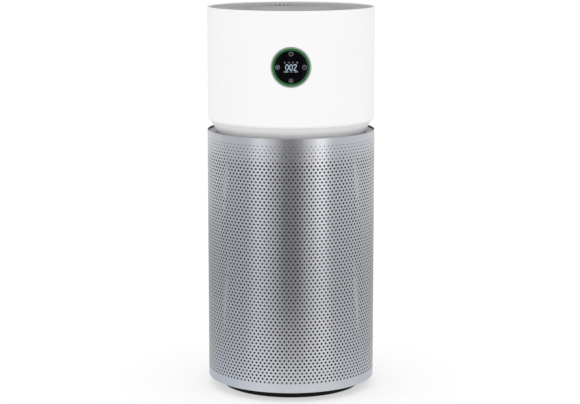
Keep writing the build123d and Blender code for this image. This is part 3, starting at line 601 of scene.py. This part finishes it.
class Skin:
    """Collects points on a drum (angle in degrees, height, radius) and the faces between them."""

    def __init__(self):
        self.verts = []
        self.faces = []
        self.inner = set()

    def mark_inner(self, first):
        """Faces made since the number given belong to the inner side, which takes the dark painted shade.
        """
        self.inner.update(range(first, len(self.faces)))

    def point(self, angle, z, radius):
        a = math.radians(angle)
        self.verts.append((radius * math.cos(a), radius * math.sin(a), z))
        return len(self.verts) - 1

    def loop(self, places, radius):
        return [self.point(a, z, radius) for a, z in places]

    def strip(self, first, second, flip=False):
        n = len(first)
        for i in range(n):
            j = (i + 1) % n
            face = (first[i], first[j], second[j], second[i])
            self.faces.append(face[::-1] if flip else face)

    def patch(self, rim, hole, flip=False):
        """Fills between a six-point cell edge and the ring of a hole."""
        share = len(hole) // 6
        for k in range(6):
            nxt = (k + 1) % 6
            part = [hole[(k * share + s) % len(hole)] for s in range(share + 1)]
            face = (rim[k], rim[nxt], part[-1], *reversed(part[:-1]))
            self.faces.append(face[::-1] if flip else face)

    def quad(self, a0, a1, z0, z1, radius, flip=False):
        face = self.loop([(a0, z0), (a1, z0), (a1, z1), (a0, z1)], radius)
        self.faces.append(tuple(face[::-1] if flip else face))


def hole_cell(skin, angle, z, half_z, hole):
    """One cell of the sheet with a round punched hole whose outer edge is rolled in."""
    inner_r = DRUM_R - SHEET
    half_a = HOLE_PITCH / 2
    rim = [(angle + half_a, z + half_z), (angle, z + half_z), (angle - half_a, z + half_z),
           (angle - half_a, z - half_z), (angle, z - half_z), (angle + half_a, z - half_z)]

    def ring(radius):
        places = []
        for i in range(HOLE_SIDES):
            turn = math.radians(30.0 + 360.0 * i / HOLE_SIDES)
            across = math.degrees(radius * math.cos(turn) / DRUM_R)
            places.append((angle + across, z + radius * math.sin(turn)))
        return places

    edge = min(HOLE_EDGE, hole * 0.25)
    skin.patch(skin.loop(rim, DRUM_R), skin.loop(ring(hole + edge), DRUM_R))
    skin.strip(skin.loop(ring(hole + edge), DRUM_R), skin.loop(ring(hole), DRUM_R - EDGE_DEPTH))
    outside = len(skin.faces)
    # The hole wall and the inner face take the dark painted shade.
    skin.strip(skin.loop(ring(hole), DRUM_R - EDGE_DEPTH), skin.loop(ring(hole), inner_r))
    skin.patch(skin.loop(rim, inner_r), skin.loop(ring(hole), inner_r), flip=True)
    skin.mark_inner(outside)


def plain_band(skin, a0, a1, z0, z1):
    """Unpunched part of the sheet, in steps of half a hole pitch, on both faces."""
    count = max(1, round((a1 - a0) / (HOLE_PITCH / 2)))
    for i in range(count):
        b0 = a0 + (a1 - a0) * i / count
        b1 = a0 + (a1 - a0) * (i + 1) / count
        skin.quad(b0, b1, z0, z1, DRUM_R)
        outside = len(skin.faces)
        skin.quad(b0, b1, z0, z1, DRUM_R - SHEET, flip=True)
        skin.mark_inner(outside)


def hem(skin, a0, a1, z0, z1):
    """Rounded cut edges round a sheet that reaches from a0 to a1 and from z0 to z1."""
    steps = max(1, round((a1 - a0) / (HOLE_PITCH / 2)))
    r_out, r_mid, r_in = DRUM_R, DRUM_R - SHEET / 2, DRUM_R - SHEET
    for z, out in ((z0, -1.0), (z1, 1.0)):
        for i in range(steps):
            b0 = a0 + (a1 - a0) * i / steps
            b1 = a0 + (a1 - a0) * (i + 1) / steps
            outer = skin.loop([(b0, z), (b1, z)], r_out)
            crown = skin.loop([(b0, z + out * HEM_CROWN), (b1, z + out * HEM_CROWN)], r_mid)
            inner = skin.loop([(b0, z), (b1, z)], r_in)
            for lower, upper in ((outer, crown), (crown, inner)):
                face = (lower[0], lower[1], upper[1], upper[0])
                skin.faces.append(face if out > 0 else face[::-1])
    for a, out in ((a0, -1.0), (a1, 1.0)):
        outer = skin.loop([(a, z0), (a, z1)], r_out)
        inner = skin.loop([(a, z0), (a, z1)], r_in)
        face = (outer[0], inner[0], inner[1], outer[1])
        skin.faces.append(face if out > 0 else face[::-1])


def hole_size(row):
    """Hole radius in a row counted from the bottom: the top rows fade out."""
    from_top = ROWS - 1 - row
    share = min(1.0, (from_top + 1.0) / FADING_ROWS)
    return HOLE_R * (SMALLEST_HOLE + (1.0 - SMALLEST_HOLE) * share)


def perforated(name, middle, half, z0, z1, rows, body, replaces, parts):
    """Perforated sheet about the angle middle, in a few pieces one above another.

    Where z1 is None the sheet stops just above its last row. Gives back the height of that edge."""
    half_z = ROW_PITCH / 2
    reach = half - SIDE_BAND
    share = math.ceil(len(rows) / parts)
    for part in range(parts):
        mine = rows[part * share:(part + 1) * share]
        skin = Skin()
        for row in mine:
            z = FIRST_ROW + row * ROW_PITCH
            shift = 0.0 if row % 2 == 0 else HOLE_PITCH / 2
            first = math.ceil((-reach - shift) / HOLE_PITCH)
            last = math.floor((reach - shift) / HOLE_PITCH)
            for k in range(first, last + 1):
                hole_cell(skin, middle + k * HOLE_PITCH + shift, z, half_z, hole_size(row))
            left = middle + (first - 0.5) * HOLE_PITCH + shift
            right = middle + (last + 0.5) * HOLE_PITCH + shift
            plain_band(skin, middle - half, left, z - half_z, z + half_z)
            plain_band(skin, right, middle + half, z - half_z, z + half_z)
        bottom = FIRST_ROW + mine[0] * ROW_PITCH - half_z
        top = FIRST_ROW + mine[-1] * ROW_PITCH + half_z
        if part == 0:
            plain_band(skin, middle - half, middle + half, z0, bottom)
            hem(skin, middle - half, middle + half, z0, z1 or DRUM_HIGH)
        if part == parts - 1 and z1 is not None:
            plain_band(skin, middle - half, middle + half, top, z1)
        obj = add_mesh(f"{name}_{part + 1}", skin.verts, skin.faces, body,
                       replaces if part == 0 else (), sharp=None, material=SILVER)
        # Inner faces and hole walls get the dark painted shade.
        obj.data.materials.append(SHEET_BACK_SHADE)
        for face in skin.inner:
            obj.data.polygons[face].material_index = 1
        merge_points(obj, 28.0, apart=2e-6, turn_outwards=False)
    return top


def make_front_sheet():
    """Perforated sheet round the front and sides, with fading rows at its top."""
    perforated("front_sheet_vis", -90.0, FRONT_HALF, DRUM_LOW, DRUM_HIGH, list(range(ROWS)),
               "case", ["front_sheet"], 4)


make_front_sheet()

DOOR_BAND = 30.0 * MM
BUTTON_Z = (low("latch_button").z + high("latch_button").z) / 2
BUTTON_W = high("latch_button").x - low("latch_button").x
BUTTON_H = high("latch_button").z - low("latch_button").z


def button_window(grow):
    """Round-ended outline about the latch button."""
    r = BUTTON_H / 2 + grow
    flat = BUTTON_W / 2 - BUTTON_H / 2
    points = []
    for i in range(33):
        a = math.radians(-90 + 180 * i / 32)
        points.append((flat + r * math.cos(a), BUTTON_Z + r * math.sin(a)))
    for i in range(33):
        a = math.radians(90 + 180 * i / 32)
        points.append((-flat + r * math.cos(a), BUTTON_Z + r * math.sin(a)))
    return points


def make_door_sheet():
    """Rear door: perforated sheet with a plain band on top, where the latch button has its window."""
    margin_low, margin_high = 6 * MM, 4 * MM
    lowest = DOOR_LOW + margin_low
    highest = DRUM_HIGH - DOOR_BAND - margin_high
    rows = [row for row in range(ROWS) if lowest < FIRST_ROW + row * ROW_PITCH < highest]
    top = perforated("door_sheet_vis", 90.0, DOOR_HALF, DOOR_LOW, None, rows, "door", ["door_sheet"], 2)
    outline = soften([(DRUM_R - SHEET, top), (DRUM_R, top), (DRUM_R, DRUM_HIGH, 0.4 * MM),
                      (DRUM_R - SHEET, DRUM_HIGH, 0.4 * MM)], 0.0)
    band = lathe("door_sheet_vis_band", outline, "door", segments=172,
                 start=90.0 - DOOR_HALF, arc=2 * DOOR_HALF, material=SILVER)
    cut(band, [cutter(*bar_along_y(button_window(0.3 * MM), *THROUGH_REAR))])


make_door_sheet()


# ------------------------------------------------------------------ base, shelf and neck
SHELF_WIDTH = 20.4 * MM


def make_base():
    """Black foot: a plate with a groove for the rubber ring, an upright rim and four screw wells."""
    wall = 3.0 * MM
    floor = 4.0 * MM
    groove_deep = 2.0 * MM
    groove_out = -low("rubber_foot_ring").x + 0.1 * MM
    groove_in = groove_out - 12.2 * MM
    outline = soften([
        (0.0, BASE_LOW, 0), (groove_in, BASE_LOW), (groove_in, BASE_LOW + groove_deep),
        (groove_out, BASE_LOW + groove_deep), (groove_out, BASE_LOW), (BASE_R, BASE_LOW, 1.6 * MM),
        (BASE_R, BASE_HIGH), (BASE_R - wall, BASE_HIGH), (BASE_R - wall, BASE_LOW + floor),
        (0.0, BASE_LOW + floor, 0),
    ])
    base = lathe("base_plate_vis", outline, "case", ["base_plate"], material=BLACK)
    box_past_circle = 5.1 * MM
    screw_r = math.hypot(high("base_screws").x, high("base_screws").y) - box_past_circle
    well_r = 4.0 * MM
    well_low = -1.0 * MM
    well_high = BASE_LOW + 2.8 * MM
    well = [(0, well_low), (well_r, well_low), (well_r, well_high), (0, well_high)]
    tools = []
    for i in range(4):
        a = math.radians(45 + 90 * i)
        x, y = screw_r * math.cos(a), screw_r * math.sin(a)
        verts, faces = lathe_data(well, 32)
        tools.append(cutter([(vx + x, vy + y, vz) for vx, vy, vz in verts], faces))
    cut(base, tools)


def make_shelf():
    """Silver shelf inside the sheet's top lip, cut away at the rear for the latch bolt."""
    outline = soften([
        (SHELF_R - SHELF_WIDTH, SHELF_LOW), (SHELF_R, SHELF_LOW), (SHELF_R, SHELF_HIGH, 0.8 * MM),
        (SHELF_R - SHELF_WIDTH, SHELF_HIGH),
    ])
    ring = lathe("sheet_top_ring_vis", outline, "case", ["sheet_top_ring"],
                 material=SATIN_SILVER)
    bolt_low, bolt_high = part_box("latch_bolt")
    half = bolt_high.x + 0.6 * MM
    bottom, top = SHELF_LOW - 1 * MM, bolt_high.z + 0.6 * MM
    box = [(-half, bottom), (half, bottom), (half, top), (-half, top)]
    cut(ring, [cutter(*bar_along_y(box, bolt_low.y - 0.8 * MM, DRUM_R))])


def make_neck():
    """Neck that widens from the shelf up to the head's lower edge, with a slight swell."""
    top_r = high("neck_skirt").x
    foot_r = SHELF_R - SHELF_WIDTH + 4.5 * MM
    z0 = low("neck_skirt").z
    z1 = HEAD_LOW + 0.2 * MM
    collar = high("neck_skirt").z
    wall = 2.5 * MM
    swell = 0.9 * MM
    inner_lift = 1.2 * MM
    steps = 12
    outer = []
    inner = []
    for i in range(steps + 1):
        t = i / steps
        r = foot_r + (top_r - foot_r) * t + swell * math.sin(math.pi * t)
        z = z0 + (z1 - z0) * t
        outer.append((r, z))
        inner.append((r - wall, z + inner_lift * t))
    outline = outer + [(top_r, collar), (top_r - wall, collar)] + inner[::-1]
    lathe("neck_skirt_vis", outline, "case", ["neck_skirt"], material=NECK_PAINTED_LIGHT)


# ------------------------------------------------------------------ head
def make_head():
    """White drum, its lower edge turned in, with openings for the display and the sensor's vent."""
    wall = 3.0 * MM
    rim = 2.2 * MM
    lip = 5.5 * MM
    inner = HEAD_R - wall
    outline = soften([
        (inner, HEAD_LOW + 5.0 * MM), (HEAD_R - lip, HEAD_LOW + 3.0 * MM),
        (HEAD_R - lip, HEAD_LOW, 0.3 * MM),
        (HEAD_R - 2.6 * MM, HEAD_LOW + 0.7 * MM, 1.2 * MM), (HEAD_R, HEAD_LOW + 4.6 * MM, 1.6 * MM),
        (HEAD_R, HEAD_HIGH, 0.9 * MM), (HEAD_R - rim, HEAD_HIGH, 0.5 * MM), (HEAD_R - rim, LID_LOW),
        (inner - 4 * MM, LID_HIGH - 3.0 * MM), (inner - 4 * MM, LID_HIGH - 5.5 * MM),
        (inner, LID_HIGH - 8 * MM),
    ], steps=5)
    body = lathe("top_housing_vis", outline, "case", ["top_housing"], segments=360,
                 material=WHITE)
    display_hole = bar_along_y(circle_points(BEZEL_R + FIT_GAP, 0, DISPLAY_Z), *THROUGH_FRONT)
    vent_low, vent_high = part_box("sensor_vent")
    side, bottom, top = vent_high.x + FIT_GAP, vent_low.z - FIT_GAP, vent_high.z + FIT_GAP
    vent_hole = bar_along_y([(-side, bottom), (side, bottom), (side, top), (-side, top)], *THROUGH_REAR)
    cut(body, [cutter(*display_hole), cutter(*vent_hole)])


# ------------------------------------------------------------------ outlet lid
SLOTS = 84
SLOT_IN = 70.0 * MM
SLOT_OUT = 114.0 * MM
SLOT_W = 2.6 * MM
SLOT_SWIRL = 10.0  # degrees
CAP_GAP = 0.2 * MM
CAP_R = high("grille_cap").x + CAP_GAP
LID_THICK = 3.0 * MM
SHOULDER_R = SLOT_OUT + 6 * MM
RIM_FALL = 0.8 * MM
DISH_FALL = 1.7 * MM


def lid_top(r):
    """Height of the lid's dished top at a radius."""
    if r > SHOULDER_R:
        return LID_HIGH - RIM_FALL * (LID_R - r) / (LID_R - SHOULDER_R)
    return LID_HIGH - RIM_FALL - DISH_FALL * (SHOULDER_R - r) / (SHOULDER_R - CAP_R)


def make_lid_rings():
    """Plain rings outside and inside the slots. The outer one follows the dish in eight steps."""
    edge = 0.5 * MM
    steps = [SLOT_OUT + (LID_R - SLOT_OUT) * i / 8 for i in range(8)]
    outer = [(r, lid_top(r)) for r in steps]
    outer += [(LID_R - edge, LID_HIGH), (LID_R, LID_HIGH - edge), (LID_R, LID_HIGH - LID_THICK),
              (SLOT_OUT, lid_top(SLOT_OUT) - LID_THICK)]
    lathe("outlet_grille_vis_outer", outer, "case", ["outlet_grille"], segments=360,
          material=LID)
    inner = [(CAP_R, lid_top(CAP_R)), (SLOT_IN, lid_top(SLOT_IN)), (SLOT_IN, lid_top(SLOT_IN) - LID_THICK),
             (CAP_R, lid_top(CAP_R) - LID_THICK)]
    lathe("outlet_grille_vis_inner", soften(inner, 0.3 * MM), "case", material=LID)


def make_lid_bars():
    """Tapered bars between the swirled slots, with rounded tops, sunk into both rings."""
    steps = 8
    sunk = 0.6 * MM
    edge = 0.5 * MM
    bevel = 0.15 * MM
    verts, faces = [], []
    start = SLOT_IN - sunk
    end = SLOT_OUT + sunk
    for i in range(SLOTS):
        base = 360.0 * (i + 0.5) / SLOTS
        rows = []
        for k in range(steps + 1):
            r = start + (end - start) * k / steps
            lean = math.degrees(math.tan(math.radians(SLOT_SWIRL)) * ((SLOT_IN + SLOT_OUT) / 2 - r) / r)
            a = math.radians(base + lean)
            half = math.pi * r / SLOTS - SLOT_W / 2
            top = lid_top(r)
            left = [(-half, top - LID_THICK), (-half, top - edge), (-half + bevel, top - bevel),
                    (-half + edge, top)]
            profile = left + [(-w, z) for w, z in reversed(left)]
            c, s = math.cos(a), math.sin(a)
            rows.append([len(verts) + n for n in range(len(profile))])
            verts += [(r * c - w * s, r * s + w * c, z) for w, z in profile]
        for first, second in zip(rows, rows[1:]):
            n = len(first)
            for q in range(n):
                faces.append((first[q], second[q], second[(q + 1) % n], first[(q + 1) % n]))
    add_mesh("outlet_grille_vis_bars", verts, faces, "case", material=LID)


def make_lid_cap():
    """Plain middle of the lid, slightly hollow."""
    r = CAP_R - CAP_GAP
    bottom, top = low("grille_cap").z, high("grille_cap").z
    outline = soften([(0, bottom, 0), (r, bottom), (r, top, 0.6 * MM),
                      (r - 14 * MM, top - 0.6 * MM, 4 * MM), (0, top - 1.2 * MM, 0)])
    lathe("grille_cap_vis", outline, "case", ["grille_cap"], material=LID)


# ------------------------------------------------------------------ display
def wrapped_ring(name, r0, r1, front, back, material, replaces, segments=160, edge=0.25 * MM):
    """Ring or disc about the display's middle. Its face follows a wall of radius front, its back one of
    radius back."""
    profile = []
    if r0 > 0:
        profile += [(r0, back), (r0, front - edge), (r0 + edge, front)]
    else:
        profile += [(0.0, back), (0.0, front)]
    steps = max(1, int((r1 - r0) / (4 * MM)))
    for i in range(1, steps):
        profile.append((r0 + (r1 - r0) * i / steps, front))
    profile += [(r1 - edge, front), (r1, front - edge), (r1, back)]
    verts, faces = [], []
    n = len(profile)
    for i in range(segments):
        a = 2 * math.pi * i / segments
        for r, wall in profile:
            x, z = r * math.cos(a), r * math.sin(a)
            verts.append((x, -math.sqrt(wall * wall - x * x), DISPLAY_Z + z))
    for i in range(segments):
        p, q = i * n, ((i + 1) % segments) * n
        for k in range(n - (0 if r0 > 0 else 1)):
            m = (k + 1) % n
            faces.append((p + k, p + m, q + m, q + k))
    merge_points(add_mesh(name, verts, faces, "case", replaces, material=material), 30.0)


def make_display():
    """Bezel, green ring and glass, one inside another."""
    back = HEAD_R - 2.4 * MM
    wrapped_ring("display_bezel_vis", RING_R + FIT_GAP, BEZEL_R, HEAD_R + 0.25 * MM, back,
                 BEZEL, ["display_bezel"])
    wrapped_ring("light_ring_vis", GLASS_R + FIT_GAP, RING_R, HEAD_R - 0.1 * MM, back,
                 GREEN_GLOW, ["light_ring"])
    wrapped_ring("display_glass_vis", 0.0, GLASS_R, HEAD_R, back, GLASS, ["display_glass"])


# ------------------------------------------------------------------ latch spring
def make_latch_spring():
    """Coil spring under the latch bolt, built at one length, though the real one shortens as the bolt
    drops.
    """
    foot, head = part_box("latch_spring")
    wire = 0.4 * MM
    pitch = 2.5 * MM
    steps_per_turn = 28
    coil = (head.x - foot.x) / 2 - wire
    middle_x, middle_y = (foot.x + head.x) / 2, (foot.y + head.y) / 2
    rise = head.z - foot.z - 2 * wire
    turns = rise / pitch
    steps = math.ceil(turns * steps_per_turn)
    sides = 10
    verts, faces = [], []
    for i in range(steps + 1):
        a = 2 * math.pi * turns * i / steps
        out = Vector((math.cos(a), math.sin(a), 0.0))
        for k in range(sides):
            b = 2 * math.pi * k / sides
            point = out * (coil + wire * math.cos(b))
            verts.append((middle_x + point.x, middle_y + point.y,
                          foot.z + wire + rise * i / steps + wire * math.sin(b)))
    for i in range(steps):
        for k in range(sides):
            m = (k + 1) % sides
            faces.append((i * sides + k, (i + 1) * sides + k, (i + 1) * sides + m, i * sides + m))
    faces.append(tuple(range(sides)))
    faces.append(tuple(steps * sides + k for k in reversed(range(sides))))
    spring = add_mesh("latch_spring_vis", verts, faces, "door", ["latch_spring"],
                      material=STEEL)
    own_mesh(spring)


make_base()
make_shelf()
make_neck()
make_head()
make_lid_rings()
make_lid_bars()
make_lid_cap()
make_display()
make_latch_spring()


# ------------------------------------------------------------------ studio
def add_light(name, place_at, aim, size, power, seen=True):
    """Soft square light. Where seen is false it doesn't show in reflections."""
    data = bpy.data.lights.new(name, "AREA")
    data.shape = "RECTANGLE"
    data.size, data.size_y = size
    data.energy = power
    light = bpy.data.objects.new(name, data)
    light.location = place_at
    light.rotation_euler = (Vector(aim) - Vector(place_at)).to_track_quat("-Z", "Y").to_euler()
    light.visible_glossy = seen
    scene.collection.objects.link(light)


def add_card(name, points, faces, colour):
    """Studio card that only shows in reflections, dark or bright."""
    mesh = bpy.data.meshes.new(name)
    mesh.from_pydata(points, [], faces)
    material = bpy.data.materials.new(name)
    material.use_nodes = True
    tree = material.node_tree
    tree.nodes.clear()
    out = tree.nodes.new("ShaderNodeOutputMaterial")
    glow = tree.nodes.new("ShaderNodeEmission")
    glow.inputs["Color"].default_value = colour
    tree.links.new(glow.outputs[0], out.inputs[0])
    material.cycles.emission_sampling = "NONE"
    mesh.materials.append(material)
    card = bpy.data.objects.new(name, mesh)
    card.visible_camera = False
    card.visible_diffuse = False
    card.visible_shadow = False
    card.visible_transmission = False
    scene.collection.objects.link(card)


def make_floor():
    """Wide white floor that glows a little, so that it stays pale far from the lights."""
    mesh = bpy.data.meshes.new("floor")
    wide = 30.0
    mesh.from_pydata([(-wide, -wide, 0), (wide, -wide, 0), (wide, wide, 0), (-wide, wide, 0)], [],
                     [(0, 1, 2, 3)])
    n = Nodes("floor_white")
    n.shader.inputs["Base Color"].default_value = (0.47, 0.47, 0.47, 1.0)
    n.shader.inputs["Emission Color"].default_value = (1.0, 1.0, 1.0, 1.0)
    n.shader.inputs["Emission Strength"].default_value = 0.53
    n.shader.inputs["Roughness"].default_value = 0.9
    n.shader.inputs["Specular IOR Level"].default_value = 0.1
    mesh.materials.append(n.material)
    floor = bpy.data.objects.new("floor", mesh)
    floor.location.z = cad_low.z
    scene.collection.objects.link(floor)


WORLD_LIGHT = 1.03
WORLD_SHINE = 0.62


def make_world():
    """Even white light all round, a little dimmer where it only shows as a reflection."""
    world = bpy.data.worlds.new("studio")
    world.use_nodes = True
    tree = world.node_tree
    background = tree.nodes["Background"]
    background.inputs["Color"].default_value = (1.0, 1.0, 1.0, 1.0)
    dimmer = tree.nodes.new("ShaderNodeMapRange")
    dimmer.inputs["To Min"].default_value = WORLD_LIGHT
    dimmer.inputs["To Max"].default_value = WORLD_SHINE
    path = tree.nodes.new("ShaderNodeLightPath")
    tree.links.new(path.outputs["Is Glossy Ray"], dimmer.inputs["Value"])
    tree.links.new(dimmer.outputs[0], background.inputs["Strength"])
    world.cycles.sampling_method = "NONE"
    scene.world = world


# Cards on the floor that show only in the drum's side: middle and half width in degrees round from the
# front, right positive, brightness in each of the zones, and how cool the light is.
REFLECTED_FLOOR = [
    (0.0, 16.0, (0.94, 0.54, 0.0, 0.0), 0.3), (24.5, 8.5, (0.94, 0.82, 0.48, 0.90), 0.3),
    (40.5, 7.5, (0.90, 1.08, 0.90, 2.15), 0.3), (61.5, 13.5, (0.82, 0.70, 0.48, 0.74), 0.8),
    (90.0, 15.0, (0.76, 0.66, 0.52, 0.82), 0.8), (120.0, 15.0, (0.72, 0.64, 0.58, 0.87), 0.3),
    (157.5, 22.5, (0.72, 0.64, 0.60, 0.87), 0.2), (-24.5, 8.5, (0.94, 0.78, 0.42, 0.76), 0.6),
    (-42.5, 9.5, (0.88, 0.88, 0.72, 1.36), 0.8), (-63.5, 11.5, (0.74, 0.62, 0.42, 0.62), 1.4),
    (-90.0, 15.0, (0.70, 0.58, 0.44, 0.67), 1.2), (-120.0, 15.0, (0.68, 0.58, 0.50, 0.84), 0.4),
    (-157.5, 22.5, (0.70, 0.60, 0.54, 0.90), 0.2),
]
ZONES = [(0.16, 0.38), (0.38, 0.78), (0.78, 1.9), (1.9, 9.0)]  # nearest and farthest metres from the middle


def floor_card(name, azimuth, half, near, far, brightness, cool):
    """Part of a ring of card just above the floor, only seen as a reflection."""
    z = 2 * MM
    steps = max(1, math.ceil(half / 6.0))
    points = []
    for i in range(steps + 1):
        t = math.radians(azimuth - half + 2 * half * i / steps)
        points += [(near * math.cos(t), near * math.sin(t), z), (far * math.cos(t), far * math.sin(t), z)]
    faces = [(2 * i, 2 * i + 1, 2 * i + 3, 2 * i + 2) for i in range(steps)]
    colour = (brightness * (1 - 0.045 * cool), brightness, brightness * (1 + 0.055 * cool), 1.0)
    add_card(name, points, faces, colour)


def make_reflected_floor():
    """Rings of card that give the silver its dark and bright upright streaks."""
    for middle, half, brightness, cool in REFLECTED_FLOOR:
        for zone, (near, far) in enumerate(ZONES):
            floor_card(f"mat_{middle:.0f}_{zone}", -90.0 + middle, half, near, far, brightness[zone], cool)


make_floor()
make_world()
add_light("top_soft", (0.0, -0.6, 3.2), (0, 0, 0.3), (3.5, 3.5), 8.0)
add_light("front_fill", (0.0, -3.0, 0.9), (0, 0, 0.45), (1.2, 1.2), 4.5, seen=False)
make_reflected_floor()
scene.view_settings.view_transform = "Standard"
